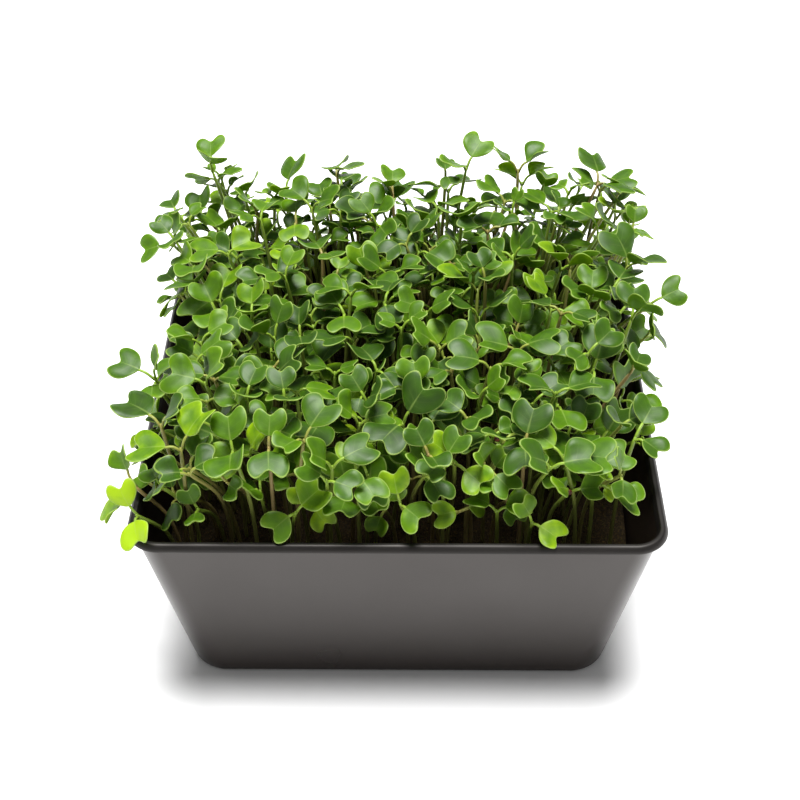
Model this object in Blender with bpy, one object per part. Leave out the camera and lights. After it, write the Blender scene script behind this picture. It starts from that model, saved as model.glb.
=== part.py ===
"""Microgreens tray: young brassica seedlings standing in a square black tray.

The tray is 160 mm square over its rolled rim and about 70 mm high. It is filled with growing
medium to 25 mm below the rim. The seedlings stand in clumps. Each clump is bound by its roots
into a small plug, which sits in its own pocket in the medium. Every seedling has one stem and
two heart-shaped seed leaves. The origin is on the table, under the middle of the tray.
"""
import math

import bpy
import numpy as np
from mathutils.bvhtree import BVHTree

# The tray, in metres
RIM_WIDTH = 0.160
TRAY_HEIGHT = 0.0695
RIM_OVERHANG = 0.0024
RIM_DEPTH = 0.0022
RIM_CORNER = 0.0105
WALL_LEAN = 0.0103
WALL_THICKNESS = 0.0009
BASE_THICKNESS = 0.0012
BASE_CORNER = 0.0119
BASE_ROUNDING = 0.0030
CORNER_STEPS = 6

# The growing medium and the pockets that the root plugs sit in
MEDIUM_BELOW_RIM = 0.0250
GAP = 0.0003
MEDIUM_TOP = TRAY_HEIGHT - MEDIUM_BELOW_RIM
PLUG_WIDTH = 0.0150
PLUG_DEPTH = 0.0060
CLUMP_ROWS = 7
CLUMPS_IN_LONG_ROW = 6
CLUMP_SPREAD = 0.0600

# The seedlings: four to a clump, by height, 1 for the tallest. One that finds no room is drawn
# again, each time a little shorter.
RANKS = (1.0, 0.82, 0.56, 0.22)
RANK_SCATTER = 0.12
RANK_DROP = 0.25
LOWEST_RANK = -0.1
CLEARANCE = 0.00035
TRIES = 120
SEED = 11

# Stems: their height at the front of the tray and what they gain towards the back, how far they
# lean out in the middle, at the edge and when they are short, and their chance sway and bow
STEM_RADIUS = 0.00062
ROOT_DEPTH = 0.0040
ROOT_REACH = PLUG_WIDTH / 2 - 0.0014
BED_HALF = 0.070
STEM_HEIGHT = 0.050
BACK_RISE = 0.009
HEIGHT_SCATTER = 0.003
LEAN = 0.004
EDGE_LEAN = 0.011
SHORT_LEAN = 0.006
SWAY = 0.0035
BOW = 0.0012
BEND_HEIGHT = 0.58
BEND_LEAN = 0.22

# Leaves: half width, length and fold over half width, and droop over length. The outline of one
# side is given in shares of the length and the half width, from the stalk to the lobe.
BLADE_THICKNESS = 0.00075
STALK_HALF_WIDTH = 0.0006
PLANT_SIZE = (0.80, 1.14)
HALF_WIDTH = (0.0049, 0.0062)
STALK = (0.0026, 0.0050)
LENGTH = (1.36, 1.52)
FOLD = (-0.10, 0.40)
DROOP = (0.08, 0.45)
LIFT = (4.0, 62.0)
LEAF_SCATTER = 12.0
BLADE_SIDE = [(0.08, 0.50), (0.50, 1.00), (1.00, 0.57)]
NOTCH = 0.72

# How far leaves may hang out, in metres from the middle, at several places from front to back, and
# at the front for low leaves and for high ones
LEFT_EDGE = [(-0.070, 0.074), (-0.048, 0.086), (-0.032, 0.079), (0.012, 0.079), (0.035, 0.088)]
RIGHT_EDGE = [(-0.065, 0.070), (-0.045, 0.079), (-0.005, 0.088)]
FRONT_EDGE = [(0.000, 0.075), (0.020, 0.081)]
BACK_EDGE = 0.084
LOWEST_LEAF = MEDIUM_TOP + 0.010

# Seedlings that stand out at the edges, placed by hand. The head is where the leaves part, in
# millimetres from the middle of the tray and above its rim. Each leaf has its direction (0 is to
# the right and 90 to the back) and its lift in degrees, its half width and its stalk in millimetres.
# Head, root and lift may stray from these values by as much as is needed to find room.
HEAD_STRAY = 0.0022
ROOT_STRAY = 0.004
LIFT_STRAY = 12.0
SET_ROLL_SCATTER = 8.0
SET_FOLD = (0.0, 0.3)
SET_DROOP = (0.1, 0.35)
STANDING_OUT = [
    ((-76.6, -72.0, 6), (-88, 12, 5.4, 3), (92, 62, 4.7, 3)),
    ((-78.5, -61.5, 8), (212, 2, 5.4, 6), (72, 62, 4.6, 5)),
    ((-69.8, -51.9, 24), (142, 30, 7.2, 5), (-20, 50, 5.2, 4)),
    ((-62.1, -64.7, 26), (52, 52, 6.6, 4), (178, 2, 6.6, 5)),
    ((-73.8, -35.3, 28), (150, 30, 5.6, 5), (30, 66, 4.2, 4)),
    ((-47.2, -66.0, 26), (92, 62, 5.6, 3), (-88, 14, 6.8, 3)),
    ((-36.5, -66.5, 28), (84, 66, 4.8, 3), (-86, 10, 5.8, 3)),
    ((-28.0, -62.0, 27), (55, 55, 6.2, 4), (-130, 20, 4.6, 4)),
    ((-30.9, -70.0, 8), (38, 44, 6.0, 3), (-135, 2, 4.8, 3)),
    ((0.7, -70.0, 9), (88, 60, 4.8, 3), (-52, 6, 5.2, 3)),
    ((29.2, -69.0, 6), (162, 40, 4.6, 3), (4, 20, 4.6, 3)),
    ((38.0, -72.0, 6), (-35, 0, 4.8, 3), (135, 60, 3.8, 3)),
    ((-11.4, -68.0, 19), (108, 50, 4.6, 3), (-62, 8, 4.8, 4)),
    ((13.5, -67.0, 23), (48, 48, 4.8, 3), (-125, 12, 4.6, 3)),
    ((37.0, -60.0, 24), (70, 55, 6.2, 3), (-92, 10, 6.4, 3)),
    ((47.4, -62.0, 21), (-22, 8, 7.2, 5), (140, 45, 5.2, 4)),
    ((57.0, -62.0, 10), (-25, -8, 5.2, 8), (150, 45, 4.4, 4)),
    ((70.7, -50.1, 18), (58, 42, 5.6, 5), (-38, 2, 4.6, 3)),
    ((80.7, 3.1, 28), (28, 45, 5.0, 4), (190, 25, 4.6, 4)),
    ((-79.0, 45.0, 22), (180, 12, 5.2, 5), (20, 50, 4.8, 4)),
    ((23.0, 70.0, 38), (55, 58, 5.6, 4), (225, 25, 5.2, 4)),
    ((41.0, 70.5, 37), (15, 42, 5.4, 4), (165, 48, 5.0, 4)),
    ((70.0, 66.0, 32), (15, 35, 5.6, 4), (200, 35, 5.2, 4)),
]


def rounded_square(half, radius, height):
    """One level ring of a square with round corners, anticlockwise seen from above."""
    turn = np.linspace(0.0, math.pi / 2, CORNER_STEPS + 1)
    ring = []
    for corner in range(4):
        angle = turn + corner * math.pi / 2
        middle = angle.mean()
        reach = (half - radius) * math.sqrt(2.0)
        x = reach * math.cos(middle) + radius * np.cos(angle)
        y = reach * math.sin(middle) + radius * np.sin(angle)
        ring.append(np.stack([x, y, np.full(len(angle), height)], axis=1))
    return np.concatenate(ring)


def make_object(name, points, faces, material):
    """A mesh object in the scene with one material."""
    mesh = bpy.data.meshes.new(name)
    mesh.from_pydata([tuple(point) for point in points], [], faces)
    mesh.materials.append(material)
    mesh.update()
    thing = bpy.data.objects.new(name, mesh)
    bpy.context.scene.collection.objects.link(thing)
    return thing


def skin(name, rings, material):
    """A closed body through a row of equal rings, with its first and last ring capped."""
    count = len(rings[0])
    faces = [tuple(reversed(range(count)))]
    for level in range(len(rings) - 1):
        low = level * count
        high = low + count
        for here in range(count):
            after = (here + 1) % count
            faces.append((low + here, low + after, high + after, high + here))
    last = (len(rings) - 1) * count
    faces.append(tuple(range(last, last + count)))
    return make_object(name, np.concatenate(rings), faces, material)


def boolean(target, operation, pieces):
    """Join the pieces to the target, or cut them from it, and remove them."""
    group = bpy.data.collections.new("pieces")
    for piece in pieces:
        group.objects.link(piece)
    step = target.modifiers.new("boolean", "BOOLEAN")
    step.operation = operation
    step.operand_type = "COLLECTION"
    step.collection = group
    step.solver = "EXACT"
    depsgraph = bpy.context.evaluated_depsgraph_get()
    result = bpy.data.meshes.new_from_object(target.evaluated_get(depsgraph))
    target.modifiers.clear()
    plain = target.data
    target.data = result
    result.name = target.name
    bpy.data.meshes.remove(plain)
    for piece in pieces:
        bpy.data.meshes.remove(piece.data)
    bpy.data.collections.remove(group)


def plain_material(name, colour, roughness, metallic=0.0):
    """A Principled material with one colour."""
    material = bpy.data.materials.new(name)
    material.use_nodes = True
    shader = material.node_tree.nodes["Principled BSDF"]
    shader.inputs["Base Color"].default_value = (*colour, 1.0)
    shader.inputs["Roughness"].default_value = roughness
    shader.inputs["Metallic"].default_value = metallic
    return material


def make_tray():
    """The tray: one skin up the outside, over the rolled rim and down the inside."""
    half_rim = RIM_WIDTH / 2
    half_top = half_rim - RIM_OVERHANG
    half_base = half_top - WALL_LEAN
    under_rim = TRAY_HEIGHT - RIM_DEPTH
    inner_top = half_top - WALL_THICKNESS
    inner_base = half_base - WALL_THICKNESS
    profile = [
        (half_base - BASE_ROUNDING, BASE_CORNER - BASE_ROUNDING, 0.0),
        (half_base - 0.3 * BASE_ROUNDING, BASE_CORNER - 0.3 * BASE_ROUNDING, 0.3 * BASE_ROUNDING),
        (half_base + 0.03 * WALL_LEAN, BASE_CORNER, BASE_ROUNDING),
        (half_top, RIM_CORNER - RIM_OVERHANG, under_rim),
        (half_rim - 0.0006, RIM_CORNER - 0.0006, under_rim),
        (half_rim, RIM_CORNER, under_rim + 0.0006),
        (half_rim - 0.0001, RIM_CORNER - 0.0001, TRAY_HEIGHT - 0.0008),
        (half_rim - 0.0009, RIM_CORNER - 0.0009, TRAY_HEIGHT),
        (inner_top + 0.0006, RIM_CORNER - 0.0026, TRAY_HEIGHT),
        (inner_top, RIM_CORNER - 0.0032, TRAY_HEIGHT - 0.0008),
        (inner_base, BASE_CORNER - WALL_THICKNESS, BASE_ROUNDING),
        (inner_base - BASE_ROUNDING, BASE_CORNER - BASE_ROUNDING, BASE_THICKNESS),
    ]
    black = plain_material("black_plastic", (0.012, 0.012, 0.013), 0.38)
    rings = [rounded_square(*step) for step in profile]
    tray = skin("tray", rings, black)
    tray.data.shade_smooth()
    tray.data.set_sharp_from_angle(angle=math.radians(35))
    return tray


def plug_centres():
    """Places of the plugs: rows with every other row shifted by half a step."""
    step_x = 2 * CLUMP_SPREAD / (CLUMPS_IN_LONG_ROW - 1)
    step_y = 2 * CLUMP_SPREAD / (CLUMP_ROWS - 1)
    places = []
    for row in range(CLUMP_ROWS):
        count = CLUMPS_IN_LONG_ROW - row % 2
        for column in range(count):
            x = (column - (count - 1) / 2) * step_x
            y = (row - (CLUMP_ROWS - 1) / 2) * step_y
            places.append((x, y))
    return places


def box(name, centre, half, low, high, material):
    """An upright square block between two levels."""
    x, y = centre
    corners = [(x + half, y + half), (x - half, y + half), (x - half, y - half), (x + half, y - half)]
    rings = [np.array([(*corner, level) for corner in corners]) for level in (low, high)]
    return skin(name, rings, material)


def make_medium(places):
    """The block of growing medium with one square pocket for each plug."""
    peat = plain_material("peat", (0.030, 0.019, 0.012), 0.95)
    half_top = RIM_WIDTH / 2 - RIM_OVERHANG
    half_base = half_top - WALL_LEAN
    low = BASE_THICKNESS + GAP

    def inside(level):
        share = (level - BASE_ROUNDING) / (TRAY_HEIGHT - BASE_ROUNDING)
        return half_base + share * WALL_LEAN - WALL_THICKNESS - 1.3 * GAP

    shoulder = BASE_ROUNDING + GAP
    corner = BASE_CORNER - WALL_THICKNESS
    rings = [
        rounded_square(inside(shoulder) - BASE_ROUNDING, corner - BASE_ROUNDING + WALL_THICKNESS, low),
        rounded_square(inside(shoulder), corner, shoulder),
        rounded_square(inside(MEDIUM_TOP), corner - 0.0020, MEDIUM_TOP),
    ]
    medium = skin("growing_medium", rings, peat)
    half = PLUG_WIDTH / 2 + GAP
    floor = MEDIUM_TOP - PLUG_DEPTH - GAP
    pockets = [box("pocket", place, half, floor, MEDIUM_TOP + 0.002, peat) for place in places]
    boolean(medium, "DIFFERENCE", pockets)
    return medium


def unit(vector):
    """The same direction with length one."""
    return vector / np.linalg.norm(vector)


def blade_points(top, out, across, size, extra):
    """Rim points of one seed leaf, upper face then lower face.

    The outline runs out along the right side of the leaf stalk, round the lower lobe, the side
    and the upper lobe to the notch, and back the same way on the left. Height above the leaf's
    plane grows with the distance from the midrib, by fold, and falls with the square of the
    distance from the stem, by droop.
    """
    stalk, length, half_width, fold, droop = size
    reach = stalk + length
    half_width = half_width + extra
    side = [(stalk, STALK_HALF_WIDTH + extra)]
    side += [(stalk + along * (length + extra), wide * half_width) for along, wide in BLADE_SIDE]
    right = [(x, -y) for x, y in side]
    left = [(x, y) for x, y in reversed(side)]
    notch = (stalk + NOTCH * length + extra, 0.0)
    flat = np.array([*right, notch, *left])
    normal = np.cross(out, across)
    lift = fold * np.abs(flat[:, 1]) - droop * flat[:, 0] ** 2 / reach
    upper = top + flat[:, :1] * out + flat[:, 1:] * across + lift[:, None] * normal
    return np.concatenate([upper + extra * normal, upper - (BLADE_THICKNESS + extra) * normal])


# Points of a stem: two rings of four and the four corners of its fork
STEM_POINTS = 12


def seedling_points(plant, extra=0.0):
    """All points of one seedling, made thicker by extra on every side."""
    root, bend, top = plant["stem"]
    spin = plant["spin"]
    up = unit(top - bend)
    level = np.array([math.cos(spin), math.sin(spin), 0.0])
    first = unit(level - up * up.dot(level))
    across = np.cross(up, first)
    radius = STEM_RADIUS + extra
    rings = []
    for centre in (root, bend):
        for quarter in range(4):
            angle = spin + quarter * math.pi / 2
            rings.append(centre + 1.05 * radius * np.array([math.cos(angle), math.sin(angle), 0.0]))
    under = top - 0.6 * radius * up
    rings.append(under + radius * first)
    rings.append(top + radius * across)
    rings.append(under - radius * first)
    rings.append(top - radius * across)
    parts = [np.array(rings)]
    for side, (lift, roll, turn, size) in zip((1.0, -1.0), plant["blades"]):
        level = side * (first * math.cos(turn) + across * math.sin(turn))
        beside = np.cross(up, level)
        out = level * math.cos(lift) + up * math.sin(lift)
        normal = np.cross(out, beside)
        tilted = beside * math.cos(roll) + normal * math.sin(roll)
        parts.append(blade_points(top, out, tilted, size, extra))
    return np.concatenate(parts)


def seedling_faces():
    """Triangles of one seedling: a four-sided stem that divides into two leaves."""
    faces = [(3, 2, 1, 0)]
    for side in range(4):
        after = (side + 1) % 4
        faces.append((side, after, after + 4, side + 4))
        faces.append((side + 4, after + 4, after + 8))
        faces.append((side + 4, after + 8, side + 8))
    for left, right, under, start in ((9, 11, 8, 12), (11, 9, 10, 30)):
        upper = list(range(start, start + 9))
        lower = list(range(start + 9, start + 18))
        notch = upper[4]
        notch_under = lower[4]
        faces.append((left, right, upper[0]))
        faces.append((left, upper[0], upper[8]))
        faces.append((upper[8], upper[0], notch))
        faces.append((under, lower[8], lower[0]))
        faces.append((lower[8], notch_under, lower[0]))
        for step in (0, 1, 2, 5, 6, 7):
            faces.append((upper[step], upper[step + 1], notch))
            faces.append((lower[step + 1], lower[step], notch_under))
        for step in range(8):
            faces.append((lower[step], lower[step + 1], upper[step + 1]))
            faces.append((lower[step], upper[step + 1], upper[step]))
        faces.append((under, lower[0], upper[0]))
        faces.append((under, upper[0], right))
        faces.append((lower[8], under, left))
        faces.append((lower[8], left, upper[8]))
    return faces


def stem_points(root, top, bow):
    """Root, bend and head of a stem that rises steeply and then leans out."""
    bend = root + (top - root) * np.array([BEND_LEAN, BEND_LEAN, BEND_HEIGHT])
    bend[:2] += bow
    deep = root - np.array([0.0, 0.0, ROOT_DEPTH])
    return np.round([deep, bend, top], 5)


def draw_plant(draw, place, rank):
    """One possible seedling of a clump. Rank 1 is the tallest and 0 the shortest."""
    root = np.array([*(place + draw.uniform(-ROOT_REACH, ROOT_REACH, 2)), MEDIUM_TOP])
    share = root[:2] / BED_HALF
    edge = np.abs(share).max()
    height = (STEM_HEIGHT + BACK_RISE * (0.5 + 0.5 * share[1])) * (0.5 + 0.5 * rank)
    height += draw.uniform(-HEIGHT_SCATTER, HEIGHT_SCATTER)
    lean = LEAN + EDGE_LEAN * edge**2 + SHORT_LEAN * (1.0 - rank) * edge**3
    lean = lean * np.sign(share) * np.abs(share) ** 1.5 + draw.normal(0.0, SWAY, 2)
    top = root + np.array([*lean, height])
    size = draw.uniform(*PLANT_SIZE)
    blades = []
    for _ in range(2):
        lift = math.radians(draw.uniform(*LIFT))
        roll, turn = np.radians(draw.normal(0.0, LEAF_SCATTER, 2))
        stalk = draw.uniform(*STALK)
        half_width = size * draw.uniform(*HALF_WIDTH)
        length = half_width * draw.uniform(*LENGTH)
        fold = draw.uniform(*FOLD)
        droop = draw.uniform(*DROOP)
        blades.append((lift, roll, turn, (stalk, length, half_width, fold, droop)))
    spin = draw.uniform(0.0, 2 * math.pi)
    bow = draw.normal(0.0, BOW, 2)
    return {"stem": stem_points(root, top, bow), "spin": round(spin, 3), "blades": blades}


def set_plant(draw, places, chosen, slack):
    """A seedling placed by hand, and the number of the clump that it grows from.

    With more slack its head, its root and the lift of its leaves stray further from their values.
    """
    head, *leaves = chosen
    stray = draw.uniform(-1.0, 1.0, 3) * HEAD_STRAY * slack
    top = np.array(head) / 1000 + (0.0, 0.0, TRAY_HEIGHT) + stray
    index = int(np.argmin([math.hypot(top[0] - x, top[1] - y) for x, y in places]))
    inner = top[:2] + draw.uniform(-1.0, 1.0, 2) * ROOT_STRAY * slack
    place = np.array(places[index])
    root = np.array([*np.clip(inner, place - ROOT_REACH, place + ROOT_REACH), MEDIUM_TOP])
    facing = leaves[0][0]
    blades = []
    for opposite, (direction, lift, half_width, stalk) in zip((0, 180), leaves):
        turn = math.radians((direction - facing - opposite + 180) % 360 - 180)
        lift = math.radians(lift + draw.uniform(-1.0, 1.0) * LIFT_STRAY * slack)
        roll = math.radians(draw.normal(0.0, SET_ROLL_SCATTER))
        half_width = half_width / 1000
        length = np.mean(LENGTH) * half_width
        fold = draw.uniform(*SET_FOLD)
        droop = draw.uniform(*SET_DROOP)
        blades.append((lift, roll, turn, (stalk / 1000, length, half_width, fold, droop)))
    spin = round(math.radians(facing), 3)
    return index, {"stem": stem_points(root, top, np.zeros(2)), "spin": spin, "blades": blades}


class Crowd:
    """The surfaces already placed, to tell whether a new seedling would cross one."""

    def __init__(self):
        self.trees = []
        self.lows = np.zeros((0, 3))
        self.highs = np.zeros((0, 3))

    def add(self, points, faces):
        self.trees.append(BVHTree.FromPolygons([tuple(point) for point in points], faces))
        self.lows = np.vstack([self.lows, points.min(axis=0)])
        self.highs = np.vstack([self.highs, points.max(axis=0)])

    def touches(self, points, faces):
        low = points.min(axis=0)
        high = points.max(axis=0)
        near = np.all((self.lows < high) & (self.highs > low), axis=1)
        tree = BVHTree.FromPolygons([tuple(point) for point in points], faces)
        return any(self.trees[index].overlap(tree) for index in np.nonzero(near)[0])


def crosses_itself(points, faces):
    """Whether two faces of one seedling that share no corner cross each other."""
    tree = BVHTree.FromPolygons([tuple(point) for point in points], faces)
    return any(not set(faces[one]) & set(faces[other]) for one, other in tree.overlap(tree))


def outside(points):
    """Whether a leaf hangs out or down further than those of a well kept tray do."""
    x, y, z = points[STEM_POINTS:].T
    left = np.interp(y, *zip(*LEFT_EDGE))
    right = np.interp(y, *zip(*RIGHT_EDGE))
    front = np.interp(z - TRAY_HEIGHT, *zip(*FRONT_EDGE))
    far = (x > right) | (x < -left) | (y < -front) | (y > BACK_EDGE)
    return bool(np.any(far | (z < LOWEST_LEAF)))


def grow_plants(places, tray):
    """Seedlings for every clump, each drawn again until it crosses nothing placed before it."""
    draw = np.random.RandomState(SEED)
    faces = seedling_faces()
    crowd = Crowd()
    tray_points = np.array([vertex.co for vertex in tray.data.vertices])
    crowd.add(tray_points, [tuple(face.vertices) for face in tray.data.polygons])
    clumps = [[] for _ in places]
    for chosen in STANDING_OUT:
        for attempt in range(TRIES):
            index, plant = set_plant(draw, places, chosen, attempt / TRIES)
            points = seedling_points(plant)
            wider = seedling_points(plant, CLEARANCE)
            if not crowd.touches(wider, faces) and not crosses_itself(points, faces):
                crowd.add(points, faces)
                clumps[index].append(points)
                break
    for rank in RANKS:
        for index in draw.permutation(len(places)):
            if len(clumps[index]) >= len(RANKS):
                continue
            for attempt in range(TRIES):
                lower = rank - RANK_DROP * attempt / TRIES + draw.uniform(-RANK_SCATTER, RANK_SCATTER)
                plant = draw_plant(draw, places[index], max(lower, LOWEST_RANK))
                points = seedling_points(plant)
                wider = seedling_points(plant, CLEARANCE)
                if outside(wider) or crowd.touches(wider, faces) or crosses_itself(points, faces):
                    continue
                crowd.add(points, faces)
                clumps[index].append(points)
                break
    return clumps, faces


def make_clump(name, place, plants, faces):
    """One clump: its root plug with the stems sunk into it. Clumps differ a little in their green."""
    shade = 0.5 + 0.5 * math.sin(3700.0 * place[0] + 1100.0 * place[1])
    leaf = plain_material(f"{name}_green", (0.06 + 0.05 * shade, 0.19 + 0.06 * shade, 0.03), 0.45)
    clump = box(name, place, PLUG_WIDTH / 2, MEDIUM_TOP - PLUG_DEPTH, MEDIUM_TOP, leaf)
    stems = [make_object("seedling", points, faces, leaf) for points in plants]
    boolean(clump, "UNION", stems)
    return clump


for old in list(bpy.data.objects):
    bpy.data.objects.remove(old, do_unlink=True)

tray = make_tray()
places = plug_centres()
medium = make_medium(places)
clumps, faces = grow_plants(places, tray)
for number, (place, plants) in enumerate(zip(places, clumps), start=1):
    make_clump(f"seedling_clump_{number:02d}", place, plants, faces)
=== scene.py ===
"""The looks of a tray of brassica microgreens: black tray, peat, and the crowded seedlings on it."""
import math

import bpy
import numpy as np
from mathutils import Matrix, Vector
from mathutils.bvhtree import BVHTree


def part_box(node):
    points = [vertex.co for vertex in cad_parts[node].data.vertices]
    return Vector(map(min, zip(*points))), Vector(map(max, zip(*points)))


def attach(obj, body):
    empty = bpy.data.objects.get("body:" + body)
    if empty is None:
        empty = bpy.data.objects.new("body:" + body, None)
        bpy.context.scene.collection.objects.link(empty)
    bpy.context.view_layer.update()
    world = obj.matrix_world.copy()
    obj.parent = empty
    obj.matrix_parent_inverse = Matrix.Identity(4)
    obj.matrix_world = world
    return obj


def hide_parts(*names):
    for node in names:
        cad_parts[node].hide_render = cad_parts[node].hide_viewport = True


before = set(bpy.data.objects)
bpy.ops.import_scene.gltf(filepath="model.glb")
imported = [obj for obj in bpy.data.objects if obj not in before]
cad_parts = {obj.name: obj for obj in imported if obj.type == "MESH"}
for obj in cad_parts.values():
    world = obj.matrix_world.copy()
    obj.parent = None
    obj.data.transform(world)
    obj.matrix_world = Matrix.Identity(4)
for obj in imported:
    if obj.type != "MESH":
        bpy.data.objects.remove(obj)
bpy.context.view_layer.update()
scene = bpy.context.scene

# Camera
# The tray is seen from the front and from above, at about 40 degrees, through a long lens. The
# camera is turned and tipped by less than one degree.
CAMERA_PLACE = (0.00516, -0.38832, 0.38235)
LENS = 67.975
SENSOR_WIDTH = 36.0
LOOK_DOWN = math.radians(39.78)
TURN_LEFT = math.radians(-0.74)
TIP = math.radians(-0.29)

camera_data = bpy.data.cameras.new("camera")
camera_data.lens = LENS
camera_data.sensor_width = SENSOR_WIDTH
camera = bpy.data.objects.new("camera", camera_data)
scene.collection.objects.link(camera)
upright = Matrix.Rotation(-TURN_LEFT, 4, "Z") @ Matrix.Rotation(math.pi / 2 - LOOK_DOWN, 4, "X")
camera.matrix_world = Matrix.Translation(CAMERA_PLACE) @ upright @ Matrix.Rotation(TIP, 4, "Z")
scene.camera = camera

# Floor
# A wide sheet of matt white studio paper, a hair under the tray so that the two do not share a face.
FLOOR_HALF = 4.0
FLOOR_LEVEL = -0.00005


def paint(code):
    """A colour given as six sRGB hex digits, made linear, with full alpha."""
    shares = [int(code[at : at + 2], 16) / 255 for at in (1, 3, 5)]
    return (*(s / 12.92 if s <= 0.04045 else ((s + 0.055) / 1.055) ** 2.4 for s in shares), 1.0)


def add_node(material, kind, values=None):
    """Adds one node and fills its sockets and properties by name or number, and its ramp from stops.

    A value that is a node's output is linked, and so is a node, by its first output.
    """
    tree = material.node_tree
    node = tree.nodes.new(f"ShaderNode{kind}")
    for name, value in (values or {}).items():
        if isinstance(value, bpy.types.Node):
            tree.links.new(value.outputs[0], node.inputs[name])
        elif isinstance(value, bpy.types.NodeSocket):
            tree.links.new(value, node.inputs[name])
        elif name == "stops":
            first, *between, last = value
            for element, (place, code) in zip(node.color_ramp.elements, (first, last)):
                element.position = place
                element.color = paint(code)
            for place, code in between:
                node.color_ramp.elements.new(place).color = paint(code)
        elif isinstance(name, int) or name in node.inputs:
            node.inputs[name].default_value = value
        else:
            setattr(node, name, value)
    return node


def add_range(material, source, low, high, to_low, to_high):
    """Adds a node that maps a source's value from low and high to two other limits, and no further."""
    limits = {"From Min": low, "From Max": high, "To Min": to_low, "To Max": to_high}
    return add_node(material, "MapRange", {"Value": source, **limits})


def add_math(material, operation, *values):
    """Adds a node that joins two or three values, each a number or a source, into one."""
    return add_node(material, "Math", {"operation": operation, **dict(enumerate(values))})


def add_mix(material, share, first, second):
    """Adds a node that mixes two colours by the share of the second."""
    return add_node(material, "MixRGB", {"Fac": share, "Color1": first, "Color2": second})


def new_material(name):
    """A material that has no nodes yet."""
    material = bpy.data.materials.new(name)
    material.use_nodes = True
    material.node_tree.nodes.clear()
    return material


def make_piece(name, points, quads, triangles, materials):
    """A mesh object from whole arrays: points, four-sided faces and then three-sided ones."""
    mesh = bpy.data.meshes.new(name)
    mesh.vertices.add(len(points))
    mesh.vertices.foreach_set("co", np.asarray(points, np.float32).ravel())
    corners = np.concatenate([np.ravel(quads), np.ravel(triangles)]).astype(np.int32)
    sizes = np.repeat([4, 3], [len(quads), len(triangles)])
    mesh.loops.add(len(corners))
    mesh.loops.foreach_set("vertex_index", corners)
    starts = np.concatenate([[0], np.cumsum(sizes)[:-1]])
    mesh.polygons.add(len(sizes))
    mesh.polygons.foreach_set("loop_start", starts.astype(np.int32))
    mesh.update(calc_edges=True)
    mesh.shade_smooth()
    for material in materials:
        mesh.materials.append(material)
    piece = bpy.data.objects.new(name, mesh)
    scene.collection.objects.link(piece)
    return piece


floor_paper = new_material("matt_white_paper")
surface = add_node(floor_paper, "BsdfDiffuse", {"Color": paint("#fafafa")})
add_node(floor_paper, "OutputMaterial", {"Surface": surface})
square = [(-1, -1), (1, -1), (1, 1), (-1, 1)]
floor_corners = [(x * FLOOR_HALF, y * FLOOR_HALF, FLOOR_LEVEL) for x, y in square]
floor = make_piece("floor", floor_corners, [(0, 1, 2, 3)], np.zeros((0, 3)), [floor_paper])

# Light
# One wide soft lamp nearly overhead, so strong that the white floor is overexposed, in a dim room. It
# shines equally on the whole floor, as a far lamp does. The tray throws a short soft shadow, and the
# space under the leaves stays dark.
LAMP_DIRECTION = (-0.02, 0.058, 1.09)
LAMP_WIDTH = math.radians(26)
LAMP_STRENGTH = 6.3
ROOM_LIGHT = 0.28
BACKDROP = 1.6

lamp = bpy.data.lights.new("wide_overhead_lamp", "SUN")
lamp.angle = LAMP_WIDTH
lamp.energy = LAMP_STRENGTH
overhead = bpy.data.objects.new("wide_overhead_lamp", lamp)
overhead.location = LAMP_DIRECTION
overhead.rotation_euler = Vector(LAMP_DIRECTION).to_track_quat("Z", "Y").to_euler()
scene.collection.objects.link(overhead)

room = bpy.data.worlds.new("dim_room")
room.use_nodes = True
room.node_tree.nodes.clear()
seen = add_node(room, "LightPath")
strength = add_range(room, seen.outputs["Is Camera Ray"], 0.0, 1.0, ROOM_LIGHT, BACKDROP)
glow = add_node(room, "Background", {"Color": paint("#ffffff"), "Strength": strength})
add_node(room, "OutputWorld", {"Surface": glow})
scene.world = room
scene.view_settings.view_transform = "Standard"

# Tray
# One sheet of black polypropylene, injection moulded: leaning walls of even thickness, round
# corners, and a rolled rim that stands out a little. The mould leaves a fine satin grain.
RIM_HALF = 0.0800
TRAY_HEIGHT = 0.0695
RIM_OVERHANG = 0.0024
RIM_DEPTH = 0.0022
RIM_CORNER = 0.0105
WALL_LEAN = 0.0103
WALL_THICKNESS = 0.0009
BASE_THICKNESS = 0.0012
BASE_CORNER = 0.0119
BASE_ROUNDING = 0.0030
# The rim's duller finish and its painted shade set in over this height, and the gloss of the plastic
# is slightly warm.
RIM_BLEND = 0.0008
WALL_TINT = (0.90, 0.845, 0.80, 1.0)
CORNER_STEPS = 20
ROUNDING_PASSES = 3


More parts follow.
